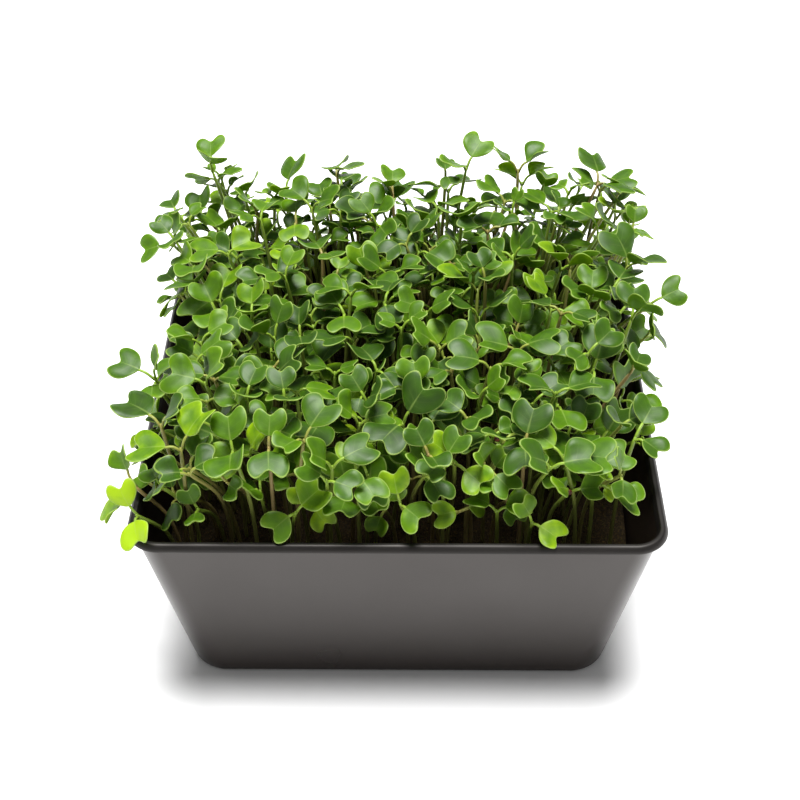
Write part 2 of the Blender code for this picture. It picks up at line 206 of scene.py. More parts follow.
def tray_section():
    """Section of the tray wall as rows of half width, corner radius and height.

    The rows run up the outside, over the rim and down the inside. Each pass cuts every corner at a
    quarter of its two sides, so that the corners become smooth curves and the straight stretches stay.
    The bare offsets, in metres, shape the roll of the rim and the edges.
    """
    top = RIM_HALF - RIM_OVERHANG
    low = top - WALL_LEAN
    under_rim = TRAY_HEIGHT - RIM_DEPTH
    rows = np.array([
        (low - BASE_ROUNDING, BASE_CORNER - BASE_ROUNDING, 0.0),
        (low - 0.0002, BASE_CORNER - 0.0002, 0.0002),
        (low + 0.05 * WALL_LEAN, BASE_CORNER, BASE_ROUNDING),
        (top, RIM_CORNER - RIM_OVERHANG, under_rim - 0.0012),
        (top + 0.0003, RIM_CORNER - RIM_OVERHANG, under_rim),
        (RIM_HALF - 0.0001, RIM_CORNER, under_rim - 0.0001),
        (RIM_HALF, RIM_CORNER, under_rim + 0.0005),
        (RIM_HALF - 0.0004, RIM_CORNER - 0.0004, under_rim + 0.0014),
        (RIM_HALF - 0.0012, RIM_CORNER - 0.0012, TRAY_HEIGHT + 0.0001),
        (RIM_HALF - 0.0022, RIM_CORNER - 0.0022, TRAY_HEIGHT + 0.0001),
        (top - 0.0002, RIM_CORNER - 0.0026, TRAY_HEIGHT - 0.0001),
        (top - WALL_THICKNESS, RIM_CORNER - 0.0032, TRAY_HEIGHT - 0.0020),
        (low - WALL_THICKNESS, BASE_CORNER - WALL_THICKNESS, BASE_ROUNDING + 0.001),
        (low - WALL_THICKNESS - BASE_ROUNDING, BASE_CORNER - BASE_ROUNDING, BASE_THICKNESS),
    ])
    for _ in range(ROUNDING_PASSES):
        near = 0.75 * rows[:-1] + 0.25 * rows[1:]
        far = 0.25 * rows[:-1] + 0.75 * rows[1:]
        rows = np.concatenate([rows[:1], np.stack([near, far], axis=1).reshape(-1, 3), rows[-1:]])
    return rows


def round_square(section, steps):
    """Points of the surface that the section sweeps round a square with round corners.

    A point is the centre of its corner's arc plus the arc's radius times the direction, where
    the centre lies on the diagonal at half width less radius.
    """
    quarter = np.linspace(0.0, math.pi / 2, steps + 1)
    corner = np.repeat(np.arange(4), steps + 1)
    angle = np.tile(quarter, 4) + corner * math.pi / 2
    diagonal = corner * math.pi / 2 + math.pi / 4
    half, radius, height = section.T[:, :, None]
    reach = (half - radius) * math.sqrt(2.0)
    x = reach * np.cos(diagonal) + radius * np.cos(angle)
    y = reach * np.sin(diagonal) + radius * np.sin(angle)
    return np.stack([x, y, np.broadcast_to(height, x.shape)], axis=2)


def grid_faces(rows, columns, closed):
    """Four-sided faces of a grid of points, rows first. A closed one joins its last column to its first."""
    joined = columns if closed else columns - 1
    row, column = np.meshgrid(np.arange(rows - 1), np.arange(joined), indexing="ij")
    after = (column + 1) % columns
    here = row * columns + column
    beside = row * columns + after
    return np.stack([here, beside, beside + columns, here + columns], axis=2).reshape(-1, 4)


def fan_faces(ring, pole, outward):
    """Three-sided faces from a ring of point numbers to one pole."""
    after = np.roll(ring, -1)
    first, second = (ring, after) if outward else (after, ring)
    return np.stack([first, second, np.full(len(ring), pole)], axis=1)


black_plastic = new_material("satin_moulded_black_polypropylene")
place = add_node(black_plastic, "TexCoord").outputs["Object"]
# The real grain is about 0.1 mm. It is drawn at 0.4 mm so that it shows at all.
grain = add_node(black_plastic, "TexNoise", {"Scale": 2500.0, "Detail": 3.0, "Vector": place})
# The wall is a little duller and shinier by turns, in clouds of about 35 mm.
cloud = add_node(black_plastic, "TexNoise", {"Scale": 28.0, "Detail": 4.0, "Vector": place})
satin = add_range(black_plastic, cloud, 0.3, 0.7, 0.27, 0.36)
# The rolled rim is duller than the walls, and painted blacker: painted shade, as the rim faces the
# dim room where the walls show the bright floor.
height = add_node(black_plastic, "SeparateXYZ", {0: place})
rim_start = TRAY_HEIGHT - RIM_DEPTH
rolled = add_range(black_plastic, height.outputs["Z"], rim_start - RIM_BLEND, rim_start, 0.0, 1.0)
duller = add_math(black_plastic, "MULTIPLY_ADD", rolled, 0.6, 1.0)
# Painted shade: the rim's black is darker than the walls' black.
walls_and_shaded_rim = add_mix(black_plastic, rolled, paint("#1c1613"), paint("#0c0a09"))
satin = add_math(black_plastic, "MULTIPLY", satin, duller)
bump = add_node(black_plastic, "Bump", {"Strength": 0.06, "Distance": 0.0002, "Height": grain})
surface = add_node(black_plastic, "BsdfPrincipled", {
    "Base Color": walls_and_shaded_rim, "Roughness": satin, "Normal": bump, "IOR": 1.50, "Specular Tint": WALL_TINT,
})
add_node(black_plastic, "OutputMaterial", {"Surface": surface})

section = tray_section()
sweep = round_square(section, CORNER_STEPS)
rows, columns = sweep.shape[:2]
tray_points = np.concatenate([sweep.reshape(-1, 3), [(0.0, 0.0, 0.0), (0.0, 0.0, BASE_THICKNESS)]])
first_ring = np.arange(columns)
last_ring = first_ring + (rows - 1) * columns
tray_fans = np.concatenate([
    fan_faces(first_ring, rows * columns, False),
    fan_faces(last_ring, rows * columns + 1, True),
])
tray_sides = grid_faces(rows, columns, True)
tray = make_piece("black_tray", tray_points, tray_sides, tray_fans, [black_plastic])
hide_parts("tray")
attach(tray, "root")

# Growing medium
# Moist dark peat with coir, pressed into the tray by hand: a crumbly top and plain sides. The fibres
# and crumbs are the darkest brown, with some lighter ones where the surface has dried.
MEDIUM_STEPS = 150
# The crumbs are waves of these lengths, which fade out towards the walls.
CRUMB_HEIGHT = 0.0008
CRUMB_WAVES = 90
CRUMB_LENGTH = (0.0014, 0.0140)
CRUMB_SEED = 5
RIM_FADE = 12
# The block stays a hair inside its solid. It is narrower at the underside and round at the corners.
SIDE_GAP = 0.0001
TOP_DROP = 0.0003
UNDERSIDE_RISE = 0.0005
UNDERSIDE_SHARE = 0.925
CORNER_PULL = 0.042

medium_low, medium_high = (np.array(corner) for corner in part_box("growing_medium"))
MEDIUM_TOP = float(medium_high[2])


def crumbs(x, y, draw):
    """Height of the crumbly top: a sum of waves in random directions, shorter ones lower."""
    height = np.zeros_like(x)
    for _ in range(CRUMB_WAVES):
        length = draw.uniform(*CRUMB_LENGTH)
        angle = draw.uniform(0.0, 2 * math.pi)
        start = draw.uniform(0.0, 2 * math.pi)
        along = x * math.cos(angle) + y * math.sin(angle)
        height += (length / CRUMB_LENGTH[1]) ** 0.7 * np.sin(2 * math.pi * along / length + start)
    return height / np.abs(height).max()


peat = new_material("moist_dark_peat")
place = add_node(peat, "TexCoord").outputs["Object"]
# Crumbs of about 1 mm and fibres of about 0.3 mm.
crumb_cells = add_node(peat, "TexVoronoi", {"Scale": 900.0, "Vector": place})
fibres = add_node(peat, "TexNoise", {"Scale": 1400.0, "Detail": 4.0, "Distortion": 1.6, "Vector": place})
peat_stops = [(0.30, "#0f0a04"), (0.55, "#231907"), (0.78, "#4c3b1a")]
browns = add_node(peat, "ValToRGB", {"stops": peat_stops, "Fac": fibres})
bump = add_node(peat, "Bump", {"Strength": 0.7, "Distance": 0.0005, "Height": crumb_cells})
surface = add_node(peat, "BsdfPrincipled", {
    "Base Color": browns, "Roughness": 0.92, "Normal": bump, "Specular IOR Level": 0.2,
})
add_node(peat, "OutputMaterial", {"Surface": surface})

medium_half = medium_high[0] - SIDE_GAP
share = np.linspace(-1.0, 1.0, MEDIUM_STEPS)
across, deep = np.meshgrid(share, share, indexing="xy")
medium_draw = np.random.RandomState(CRUMB_SEED)
rim_fade = np.clip((1.0 - np.maximum(np.abs(across), np.abs(deep))) * RIM_FADE, 0.0, 1.0)
crumb_top = crumbs(across * medium_half, deep * medium_half, medium_draw)
level = MEDIUM_TOP - TOP_DROP + CRUMB_HEIGHT * rim_fade * crumb_top
# A square grid is pressed into a square with round corners by drawing the diagonals in.
pull = 1.0 - CORNER_PULL * (across * deep) ** 4
top_grid = np.stack([across * pull * medium_half, deep * pull * medium_half, level], axis=2)
edge = np.concatenate([
    np.arange(MEDIUM_STEPS),
    np.arange(2, MEDIUM_STEPS + 1) * MEDIUM_STEPS - 1,
    MEDIUM_STEPS * MEDIUM_STEPS - 2 - np.arange(MEDIUM_STEPS - 1),
    np.arange(MEDIUM_STEPS - 2, 0, -1) * MEDIUM_STEPS,
])
top_points = top_grid.reshape(-1, 3)
low_centre = (0.0, 0.0, medium_low[2] + UNDERSIDE_RISE)
low_ring = top_points[edge] * (UNDERSIDE_SHARE, UNDERSIDE_SHARE, 0.0) + low_centre
low_numbers = len(top_points) + np.arange(len(edge))
side_faces = np.stack([edge, low_numbers, np.roll(low_numbers, -1), np.roll(edge, -1)], axis=1)
medium_points = np.concatenate([top_points, low_ring, [low_centre]])
medium_faces = np.concatenate([grid_faces(MEDIUM_STEPS, MEDIUM_STEPS, False), side_faces])
under_fan = fan_faces(low_numbers, len(medium_points) - 1, False)
medium = make_piece("peat_bed", medium_points, medium_faces, under_fan, [peat])
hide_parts("growing_medium")
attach(medium, "root")

# Seedlings: where they stand
# Young brassica plants, sown close, so that stems stand a few millimetres apart and the seed leaves
# make one canopy. Each plant of the model is drawn here by the same rule and in the same order.
CLUMP_ROWS = 7
CLUMPS_IN_LONG_ROW = 6
CLUMP_SPREAD = 0.0600
PLUG_WIDTH = 0.0150
RANKS = (1.0, 0.82, 0.56, 0.22)
RANK_SCATTER = 0.12
RANK_DROP = 0.25
LOWEST_RANK = -0.1
TRIES = 120
SEED = 11
MATCH = 0.000002

# Stems: their height at the front of the tray and what they gain towards the back, how far they
# lean out in the middle, at the edge and when they are short, and their chance sway and bow.
STEM_RADIUS = 0.00062
ROOT_DEPTH = 0.0040
ROOT_REACH = PLUG_WIDTH / 2 - 0.0014
BED_HALF = 0.070
STEM_HEIGHT = 0.050
BACK_RISE = 0.009
HEIGHT_SCATTER = 0.003
LEAN = 0.004
EDGE_LEAN = 0.011
SHORT_LEAN = 0.006
SWAY = 0.0035
BOW = 0.0012
BEND_HEIGHT = 0.58
BEND_LEAN = 0.22

# Leaves: half width, length and fold over half width, droop over length, and the notch between the
# lobes as a share of the length.
PLANT_SIZE = (0.80, 1.14)
HALF_WIDTH = (0.0049, 0.0062)
STALK = (0.0026, 0.0050)
LENGTH = (1.36, 1.52)
FOLD = (-0.10, 0.40)
DROOP = (0.08, 0.45)
LIFT = (4.0, 62.0)
LEAF_SCATTER = 12.0
NOTCH = 0.72

# Seedlings that stand out at the edges. The head is where the leaves part, in millimetres from the
# middle of the tray and above its rim. Each leaf has its direction (0 is to the right and 90 to the
# back) and its lift in degrees, its half width and its stalk in millimetres.
HEAD_STRAY = 0.0022
ROOT_STRAY = 0.004
LIFT_STRAY = 12.0
SET_ROLL_SCATTER = 8.0
SET_FOLD = (0.0, 0.3)
SET_DROOP = (0.1, 0.35)
STANDING_OUT = [
    ((-76.6, -72.0, 6), (-88, 12, 5.4, 3), (92, 62, 4.7, 3)),
    ((-78.5, -61.5, 8), (212, 2, 5.4, 6), (72, 62, 4.6, 5)),
    ((-69.8, -51.9, 24), (142, 30, 7.2, 5), (-20, 50, 5.2, 4)),
    ((-62.1, -64.7, 26), (52, 52, 6.6, 4), (178, 2, 6.6, 5)),
    ((-73.8, -35.3, 28), (150, 30, 5.6, 5), (30, 66, 4.2, 4)),
    ((-47.2, -66.0, 26), (92, 62, 5.6, 3), (-88, 14, 6.8, 3)),
    ((-36.5, -66.5, 28), (84, 66, 4.8, 3), (-86, 10, 5.8, 3)),
    ((-28.0, -62.0, 27), (55, 55, 6.2, 4), (-130, 20, 4.6, 4)),
    ((-30.9, -70.0, 8), (38, 44, 6.0, 3), (-135, 2, 4.8, 3)),
    ((0.7, -70.0, 9), (88, 60, 4.8, 3), (-52, 6, 5.2, 3)),
    ((29.2, -69.0, 6), (162, 40, 4.6, 3), (4, 20, 4.6, 3)),
    ((38.0, -72.0, 6), (-35, 0, 4.8, 3), (135, 60, 3.8, 3)),
    ((-11.4, -68.0, 19), (108, 50, 4.6, 3), (-62, 8, 4.8, 4)),
    ((13.5, -67.0, 23), (48, 48, 4.8, 3), (-125, 12, 4.6, 3)),
    ((37.0, -60.0, 24), (70, 55, 6.2, 3), (-92, 10, 6.4, 3)),
    ((47.4, -62.0, 21), (-22, 8, 7.2, 5), (140, 45, 5.2, 4)),
    ((57.0, -62.0, 10), (-25, -8, 5.2, 8), (150, 45, 4.4, 4)),
    ((70.7, -50.1, 18), (58, 42, 5.6, 5), (-38, 2, 4.6, 3)),
    ((80.7, 3.1, 28), (28, 45, 5.0, 4), (190, 25, 4.6, 4)),
    ((-79.0, 45.0, 22), (180, 12, 5.2, 5), (20, 50, 4.8, 4)),
    ((23.0, 70.0, 38), (55, 58, 5.6, 4), (225, 25, 5.2, 4)),
    ((41.0, 70.5, 37), (15, 42, 5.4, 4), (165, 48, 5.0, 4)),
    ((70.0, 66.0, 32), (15, 35, 5.6, 4), (200, 35, 5.2, 4)),
]


def plug_centres():
    """Places of the clumps: rows with every other row shifted by half a step."""
    step_x = 2 * CLUMP_SPREAD / (CLUMPS_IN_LONG_ROW - 1)
    step_y = 2 * CLUMP_SPREAD / (CLUMP_ROWS - 1)
    places = []
    for row in range(CLUMP_ROWS):
        count = CLUMPS_IN_LONG_ROW - row % 2
        for column in range(count):
            places.append(((column - (count - 1) / 2) * step_x, (row - (CLUMP_ROWS - 1) / 2) * step_y))
    return places


def unit(vector):
    """The same direction with length one."""
    return vector / np.linalg.norm(vector)


def stem_points(root, top, bow):
    """Root, bend and head of a stem that rises steeply and then leans out."""
    bend = root + (top - root) * np.array([BEND_LEAN, BEND_LEAN, BEND_HEIGHT])
    bend[:2] += bow
    deep = root - np.array([0.0, 0.0, ROOT_DEPTH])
    return np.round([deep, bend, top], 5)


def draw_plant(draw, place, rank):
    """One possible seedling of a clump. Rank 1 is the tallest and 0 the shortest."""
    root = np.array([*(place + draw.uniform(-ROOT_REACH, ROOT_REACH, 2)), MEDIUM_TOP])
    share = root[:2] / BED_HALF
    edge = np.abs(share).max()
    height = (STEM_HEIGHT + BACK_RISE * (0.5 + 0.5 * share[1])) * (0.5 + 0.5 * rank)
    height += draw.uniform(-HEIGHT_SCATTER, HEIGHT_SCATTER)
    lean = LEAN + EDGE_LEAN * edge**2 + SHORT_LEAN * (1.0 - rank) * edge**3
    lean = lean * np.sign(share) * np.abs(share) ** 1.5 + draw.normal(0.0, SWAY, 2)
    top = root + np.array([*lean, height])
    size = draw.uniform(*PLANT_SIZE)
    blades = []
    for _ in range(2):
        lift = math.radians(draw.uniform(*LIFT))
        roll, turn = np.radians(draw.normal(0.0, LEAF_SCATTER, 2))
        stalk = draw.uniform(*STALK)
        half_width = size * draw.uniform(*HALF_WIDTH)
        length = half_width * draw.uniform(*LENGTH)
        fold = draw.uniform(*FOLD)
        droop = draw.uniform(*DROOP)
        blades.append((lift, roll, turn, (stalk, length, half_width, fold, droop)))
    spin = draw.uniform(0.0, 2 * math.pi)
    bow = draw.normal(0.0, BOW, 2)
    return {"stem": stem_points(root, top, bow), "spin": round(spin, 3), "blades": blades}


def set_plant(draw, places, chosen, slack):
    """A seedling that stands out, and the number of the clump that it grows from."""
    head, *leaves = chosen
    stray = draw.uniform(-1.0, 1.0, 3) * HEAD_STRAY * slack
    top = np.array(head) / 1000 + (0.0, 0.0, TRAY_HEIGHT) + stray
    index = int(np.argmin([math.hypot(top[0] - x, top[1] - y) for x, y in places]))
    inner = top[:2] + draw.uniform(-1.0, 1.0, 2) * ROOT_STRAY * slack
    place = np.array(places[index])
    root = np.array([*np.clip(inner, place - ROOT_REACH, place + ROOT_REACH), MEDIUM_TOP])
    facing = leaves[0][0]
    blades = []
    for opposite, (direction, lift, half_width, stalk) in zip((0, 180), leaves):
        turn = math.radians((direction - facing - opposite + 180) % 360 - 180)
        lift = math.radians(lift + draw.uniform(-1.0, 1.0) * LIFT_STRAY * slack)
        roll = math.radians(draw.normal(0.0, SET_ROLL_SCATTER))
        half_width = half_width / 1000
        length = np.mean(LENGTH) * half_width
        fold = draw.uniform(*SET_FOLD)
        droop = draw.uniform(*SET_DROOP)
        blades.append((lift, roll, turn, (stalk / 1000, length, half_width, fold, droop)))
    spin = round(math.radians(facing), 3)
    return index, {"stem": stem_points(root, top, np.zeros(2)), "spin": spin, "blades": blades}


def stem_frame(plant):
    """Directions at the head of the stem: along it, towards the first leaf, and across."""
    _, bend, top = plant["stem"]
    up = unit(top - bend)
    level = np.array([math.cos(plant["spin"]), math.sin(plant["spin"]), 0.0])
    first = unit(level - up * up.dot(level))
    return up, first, np.cross(up, first)


def leaf_frame(plant, side, blade):
    """Directions of one leaf: out from the stem, across the leaf, and its normal."""
    up, first, across = stem_frame(plant)
    lift, roll, turn, _ = blade
    level = side * (first * math.cos(turn) + across * math.sin(turn))
    beside = np.cross(up, level)
    out = level * math.cos(lift) + up * math.sin(lift)
    tilted = beside * math.cos(roll) + np.cross(out, beside) * math.sin(roll)
    return out, tilted, np.cross(out, tilted)


def in_model(plant, corners):
    """Whether the model's clump has the two corners where this stem divides and both leaf notches."""
    top = plant["stem"][2]
    across = stem_frame(plant)[2]
    wanted = [top + STEM_RADIUS * across, top - STEM_RADIUS * across]
    for side, blade in zip((1.0, -1.0), plant["blades"]):
        out, _, normal = leaf_frame(plant, side, blade)
        stalk, length, _, _, droop = blade[3]
        notch = stalk + NOTCH * length
        wanted.append(top + notch * out - droop * notch**2 / (stalk + length) * normal)
    return all(np.abs(corners - point).max(axis=1).min() < MATCH for point in wanted)


places = plug_centres()
clump_nodes = [f"seedling_clump_{number + 1:02d}" for number in range(len(places))]
clump_corners = []
for node_name in clump_nodes:
    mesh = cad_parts[node_name].data
    corners = np.zeros(len(mesh.vertices) * 3, np.float32)
    mesh.vertices.foreach_get("co", corners)
    clump_corners.append(corners.reshape(-1, 3).astype(float))

draw = np.random.RandomState(SEED)
clumps = [[] for _ in places]
for chosen in STANDING_OUT:
    for attempt in range(TRIES):
        index, plant = set_plant(draw, places, chosen, attempt / TRIES)
        if in_model(plant, clump_corners[index]):
            clumps[index].append(plant)
            break
for rank in RANKS:
    for index in draw.permutation(len(places)):
        if len(clumps[index]) >= len(RANKS):
            continue
        for attempt in range(TRIES):
            lower = rank - RANK_DROP * attempt / TRIES + draw.uniform(-RANK_SCATTER, RANK_SCATTER)
            plant = draw_plant(draw, places[index], max(lower, LOWEST_RANK))
            if in_model(plant, clump_corners[index]):
                clumps[index].append(plant)
                break
print("plants of the model:", sum(len(plants) for plants in clumps))

# Seedlings: stem and leaf forms
# A stem about 1.2 mm thick that divides into two leaf stalks. A seed leaf is 9 to 14 mm wide and
# half a millimetre thick, with a round lobe on either side of a shallow notch.
BLADE_THICKNESS = 0.00042
STALK_SIDES = 6
STALK_UNDER = 0.34
# One side of the leaf from the stalk to the notch: along in lengths and across in half widths.
LEAF_OUTLINE = [
    (-0.09, 0.00), (0.03, 0.38), (0.26, 0.92), (0.60, 1.14),
    (0.95, 1.02), (1.12, 0.67), (0.91, 0.28), (0.70, 0.00),
]
# The leaf's valley is softened along the midrib, which lies in a groove. Its ripple turns about a
# point at this share of the length, and its rounded edge stands out by this share of its thickness.
VALLEY_SOFTNESS = 0.0009
GROOVE_DEPTH = 0.00012
GROOVE_WIDTH = 0.0005
CURL_POWER = 2.5
RIPPLE_CENTRE = 0.3
BLADE_DROP = 0.00015
EDGE_BULGE = 0.45
# The stem is thickest at the root. Its head is drawn in and lies this far under the fork.
STEM_SIDES = 7
STEM_TAPER = (1.10, 0.90)
STEM_TIP = 0.6
HEAD_DROP = 0.0007
# Leaf stalks: radii, how much of each is lost under the leaf, how far they lie below the blade, and
# how deep and how far from the fork they bend down into the stem.
STALK_WIDTH = 0.00047
STALK_THICKNESS = 0.00040
STALK_TAPER = (0.75, 0.60)
STALK_DROP = 0.00034
STALK_GAP = 0.00002
STALK_SINK_START = 0.55
STALK_SINK_SPAN = 0.40
FORK_DEPTH = 0.0018
FORK_REACH = 0.0028
# How much of the stem's colours lies below the fork. The stalks have the rest.
STEM_SHARE = 0.9
STALK_SHARE = 0.1
# Steps along each half of a stem and along a stalk.
FINE_STEPS = (7, 9)
ROUGH_STEPS = (4, 4)


def leaf_margin(stations):
    """Points of one side's margin, from the stalk to the notch, scaled to length and half width 1.

    They lie at even steps on the uniform cubic spline that has the outline as its control points,
    mirrored at both ends.
    """
    outline = np.array(LEAF_OUTLINE)
    control = np.concatenate([outline[1:2] * (1, -1), outline, outline[-2:-1] * (1, -1)])
    at = np.linspace(0.0, len(outline) - 1.0, stations)
    first = at.astype(int).clip(max=len(outline) - 2)
    t = (at - first)[:, None]
    weights = ((1 - t) ** 3, 3 * t**3 - 6 * t**2 + 4, -3 * t**3 + 3 * t**2 + 3 * t + 1, t**3)
    margin = sum(weight * control[first + step] for step, weight in enumerate(weights)) / 6
    return (margin / margin.max(axis=0)).T


def leaf_template(stations, ribs):
    """A leaf of length and half width 1, as a grid of lines that fan from the midrib to the margin.

    The lines start evenly on the midrib and end at even steps of the margin's curve.
    """
    share = np.linspace(0.0, 1.0, stations)
    margin_x, margin_y = leaf_margin(stations)
    middle_x = margin_x[0] + (margin_x[-1] - margin_x[0]) * share
    out = np.linspace(-1.0, 1.0, 2 * ribs + 1)
    inner = slice(1, stations - 1)
    x = middle_x[inner, None] + (margin_x - middle_x)[inner, None] * np.abs(out)
    y = margin_y[inner, None] * out
    rows, columns = x.shape
    ends = [(margin_x[0], 0.0), (margin_x[-1], 0.0)]
    flat = np.concatenate([np.stack([x, y], axis=2).reshape(-1, 2), ends])
    fan = np.stack([np.tile(out, rows), np.repeat(share[inner], columns)], axis=1)
    fan = np.concatenate([fan, [(0.0, 0.0), (0.0, 1.0)]])
    stalk_end = rows * columns
    notch_end = stalk_end + 1
    first = np.arange(columns - 1)
    last = first + (rows - 1) * columns
    triangles = np.concatenate([
        np.stack([first + 1, first, np.full(columns - 1, stalk_end)], axis=1)[:, ::-1],
        np.stack([last, last + 1, np.full(columns - 1, notch_end)], axis=1)[:, ::-1],
    ])
    quads = grid_faces(rows, columns, False)[:, ::-1]
    right = np.arange(rows) * columns
    left = right[::-1] + columns - 1
    rim = np.concatenate([[stalk_end], right, [notch_end], left])
    outline = flat[rim]
    gap = np.linalg.norm(flat[:, None, :] - outline[None, :, :], axis=2).min(axis=1)
    return {"flat": flat, "fan": fan, "quads": quads, "triangles": triangles, "rim": rim, "gap": gap}


def leaf_lift(x, y, size, wave):
    """Height of the leaf above its plane.

    It grows with the distance from the midrib, by fold, and falls with the square of the distance
    from the stem, by droop. The lobes curl down towards the margin, a ripple of a few tenths of a
    millimetre runs round them, and the midrib lies in a shallow groove.
    """
    stalk, length, half_width, fold, droop = size
    swell, phase, curl, _ = wave
    reach = stalk + length
    out = np.abs(y) / half_width
    valley = fold * (np.sqrt(y**2 + VALLEY_SOFTNESS**2) - VALLEY_SOFTNESS)
    valley = valley - curl * half_width * out**CURL_POWER
    around = np.arctan2(y, x - stalk - RIPPLE_CENTRE * length)
    ripple = swell * half_width * out**2 * np.sin(2.0 * around + phase)
    groove = -GROOVE_DEPTH * np.exp(-((y / GROOVE_WIDTH) ** 2))
    return valley + ripple + groove - droop * x**2 / reach


def leaf_mesh(template, top, out, across, size, wave):
    """Points and faces of one leaf: its upper face, a round edge and its lower face."""
    stalk, length, half_width, _, _ = size
    flat = template["flat"]
    x = stalk + length * flat[:, 0] * (1.0 + wave[3] * flat[:, 1])
    y = half_width * flat[:, 1]
    normal = np.cross(out, across)
    height = leaf_lift(x, y, size, wave) - BLADE_DROP
    upper = top + x[:, None] * out + y[:, None] * across + height[:, None] * normal
    lower = upper - BLADE_THICKNESS * normal
    rim = template["rim"]
    edge_flat = flat[rim] - (0.5, 0.0)
    outward = edge_flat / np.linalg.norm(edge_flat, axis=1)[:, None]
    bulge = outward[:, :1] * out + outward[:, 1:] * across
    edge = 0.5 * (upper + lower)[rim] + EDGE_BULGE * BLADE_THICKNESS * bulge
    count = len(flat)
    around = 2 * count + np.arange(len(rim))
    following = np.roll(around, -1)
    rim_after = np.roll(rim, -1)
    upper_edge = np.stack([rim, around, following, rim_after], axis=1)
    lower_edge = np.stack([around, rim + count, rim_after + count, following], axis=1)
    quads = np.concatenate([template["quads"], upper_edge, template["quads"][:, ::-1] + count, lower_edge])
    triangles = np.concatenate([template["triangles"], template["triangles"][:, ::-1] + count])
    under_quads = len(template["quads"]) + len(lower_edge)
    quad_kind = np.repeat([1, 2], [len(template["quads"]) + len(upper_edge), under_quads])
    triangle_kind = np.repeat([1, 2], [len(template["triangles"])] * 2)
    fan = np.concatenate([template["fan"], template["fan"], template["fan"][rim]])
    gap = np.concatenate([template["gap"], template["gap"], np.zeros(len(rim))]) * half_width
    return np.concatenate([upper, lower, edge]), quads, triangles, quad_kind, triangle_kind, fan, gap


def tube_mesh(path, side, width, thickness, sides):
    """Points and faces of a closed tube along a path.

    Each ring is an ellipse across the path, its first radius along the given side, and both ends
    are drawn in to a point.
    """
    along = np.gradient(path, axis=0)
    along /= np.linalg.norm(along, axis=1)[:, None]
    side = side - along * (along @ side)[:, None]
    side /= np.linalg.norm(side, axis=1)[:, None]
    face = np.cross(along, side)
    angle = np.arange(sides) * 2 * math.pi / sides
    rings = path[:, None] + (width[:, None] * np.cos(angle))[:, :, None] * side[:, None]
    rings = rings + (thickness[:, None] * np.sin(angle))[:, :, None] * face[:, None]
    points = np.concatenate([rings.reshape(-1, 3), path[:1], path[-1:]])
    count = len(path) * sides
    first = np.arange(sides)
    last = first + (len(path) - 1) * sides
    triangles = np.concatenate([fan_faces(first, count, False), fan_faces(last, count + 1, True)])
    along_share = np.concatenate([np.repeat(np.linspace(0.0, 1.0, len(path)), sides), [0.0, 1.0]])
    return points, grid_faces(len(path), sides, True), triangles, along_share


def stem_path(plant, steps):
    """Points along a stem: a smooth curve through its root, its bend and its head.

    Between two points it is the cubic with the given directions at its ends. It starts upright and
    ends in line with the head.
    """
    deep, bend, top = plant["stem"]
    up = stem_frame(plant)[0]
    lower, upper = np.linalg.norm(bend - deep), np.linalg.norm(top - bend)
    middle = unit(top - deep)
    share = np.linspace(0.0, 1.0, steps)[:, None]
    start = 2 * share**3 - 3 * share**2 + 1
    leave = share**3 - 2 * share**2 + share
    arrive = share**3 - share**2
    upright = np.array([0.0, 0.0, 1.0])
    first = start * deep + (1 - start) * bend + leave * lower * upright + arrive * lower * middle
    second = start * bend + (1 - start) * top + leave * upper * middle + arrive * upper * up
    return np.concatenate([first, second[1:]])


def tube_part(plant, tube, start, gain):
    """The arrays of a stem or stalk, with its share of the stem's colours and its blush."""
    points, quads, triangles, share = tube
    kinds = (np.zeros(len(quads)), np.zeros(len(triangles)))
    fan = np.stack([start + share * gain, np.full(len(share), plant["blush"])], axis=1)
    return points, quads, triangles, *kinds, fan, np.full((len(points), 2), plant["tone"])


def plant_mesh(plant, template, stem_steps, stalk_steps):
    """All points and faces of one seedling, with the numbers that its materials read."""
    top = plant["stem"][2]
    up, first, _ = stem_frame(plant)
    path = stem_path(plant, stem_steps)
    path[-1] -= HEAD_DROP * up
    radius = STEM_RADIUS * np.linspace(*STEM_TAPER, len(path))
    radius[-1] *= STEM_TIP
    parts = [tube_part(plant, tube_mesh(path, first, radius, radius, STEM_SIDES), 0.0, STEM_SHARE)]
    leaves = zip((1.0, -1.0), plant["blades"], plant["waves"], plant["leaf_tones"])
    for side, blade, wave, leaf_tone in leaves:
        out, tilted, face = leaf_frame(plant, side, blade)
        size = blade[3]
        stalk, length, _, _, droop = size
        distance = np.linspace(0.0, stalk + STALK_UNDER * length, stalk_steps)
        taper = np.clip((distance - stalk) / (STALK_UNDER * length), 0.0, 1.0)
        width = STALK_WIDTH * (1.0 - STALK_TAPER[0] * taper)
        thickness = STALK_THICKNESS * (1.0 - STALK_TAPER[1] * taper)
        sunk = np.clip((distance / stalk - STALK_SINK_START) / STALK_SINK_SPAN, 0.0, 1.0)
        under = sunk * (thickness + STALK_GAP)
        sag = -droop * distance**2 / (stalk + length) - STALK_DROP - under
        path = top + distance[:, None] * out + sag[:, None] * face
        path = path - up * FORK_DEPTH * np.clip(1.0 - distance[:, None] / FORK_REACH, 0.0, 1.0) ** 2
        tube = tube_mesh(path, tilted, width, thickness, STALK_SIDES)
        parts.append(tube_part(plant, tube, STEM_SHARE, STALK_SHARE))
        *leaf, gap = leaf_mesh(template, top, out, tilted, size, wave)
        parts.append((*leaf, np.stack([gap * 100, np.full(len(gap), leaf_tone)], axis=1)))
    return join(parts)


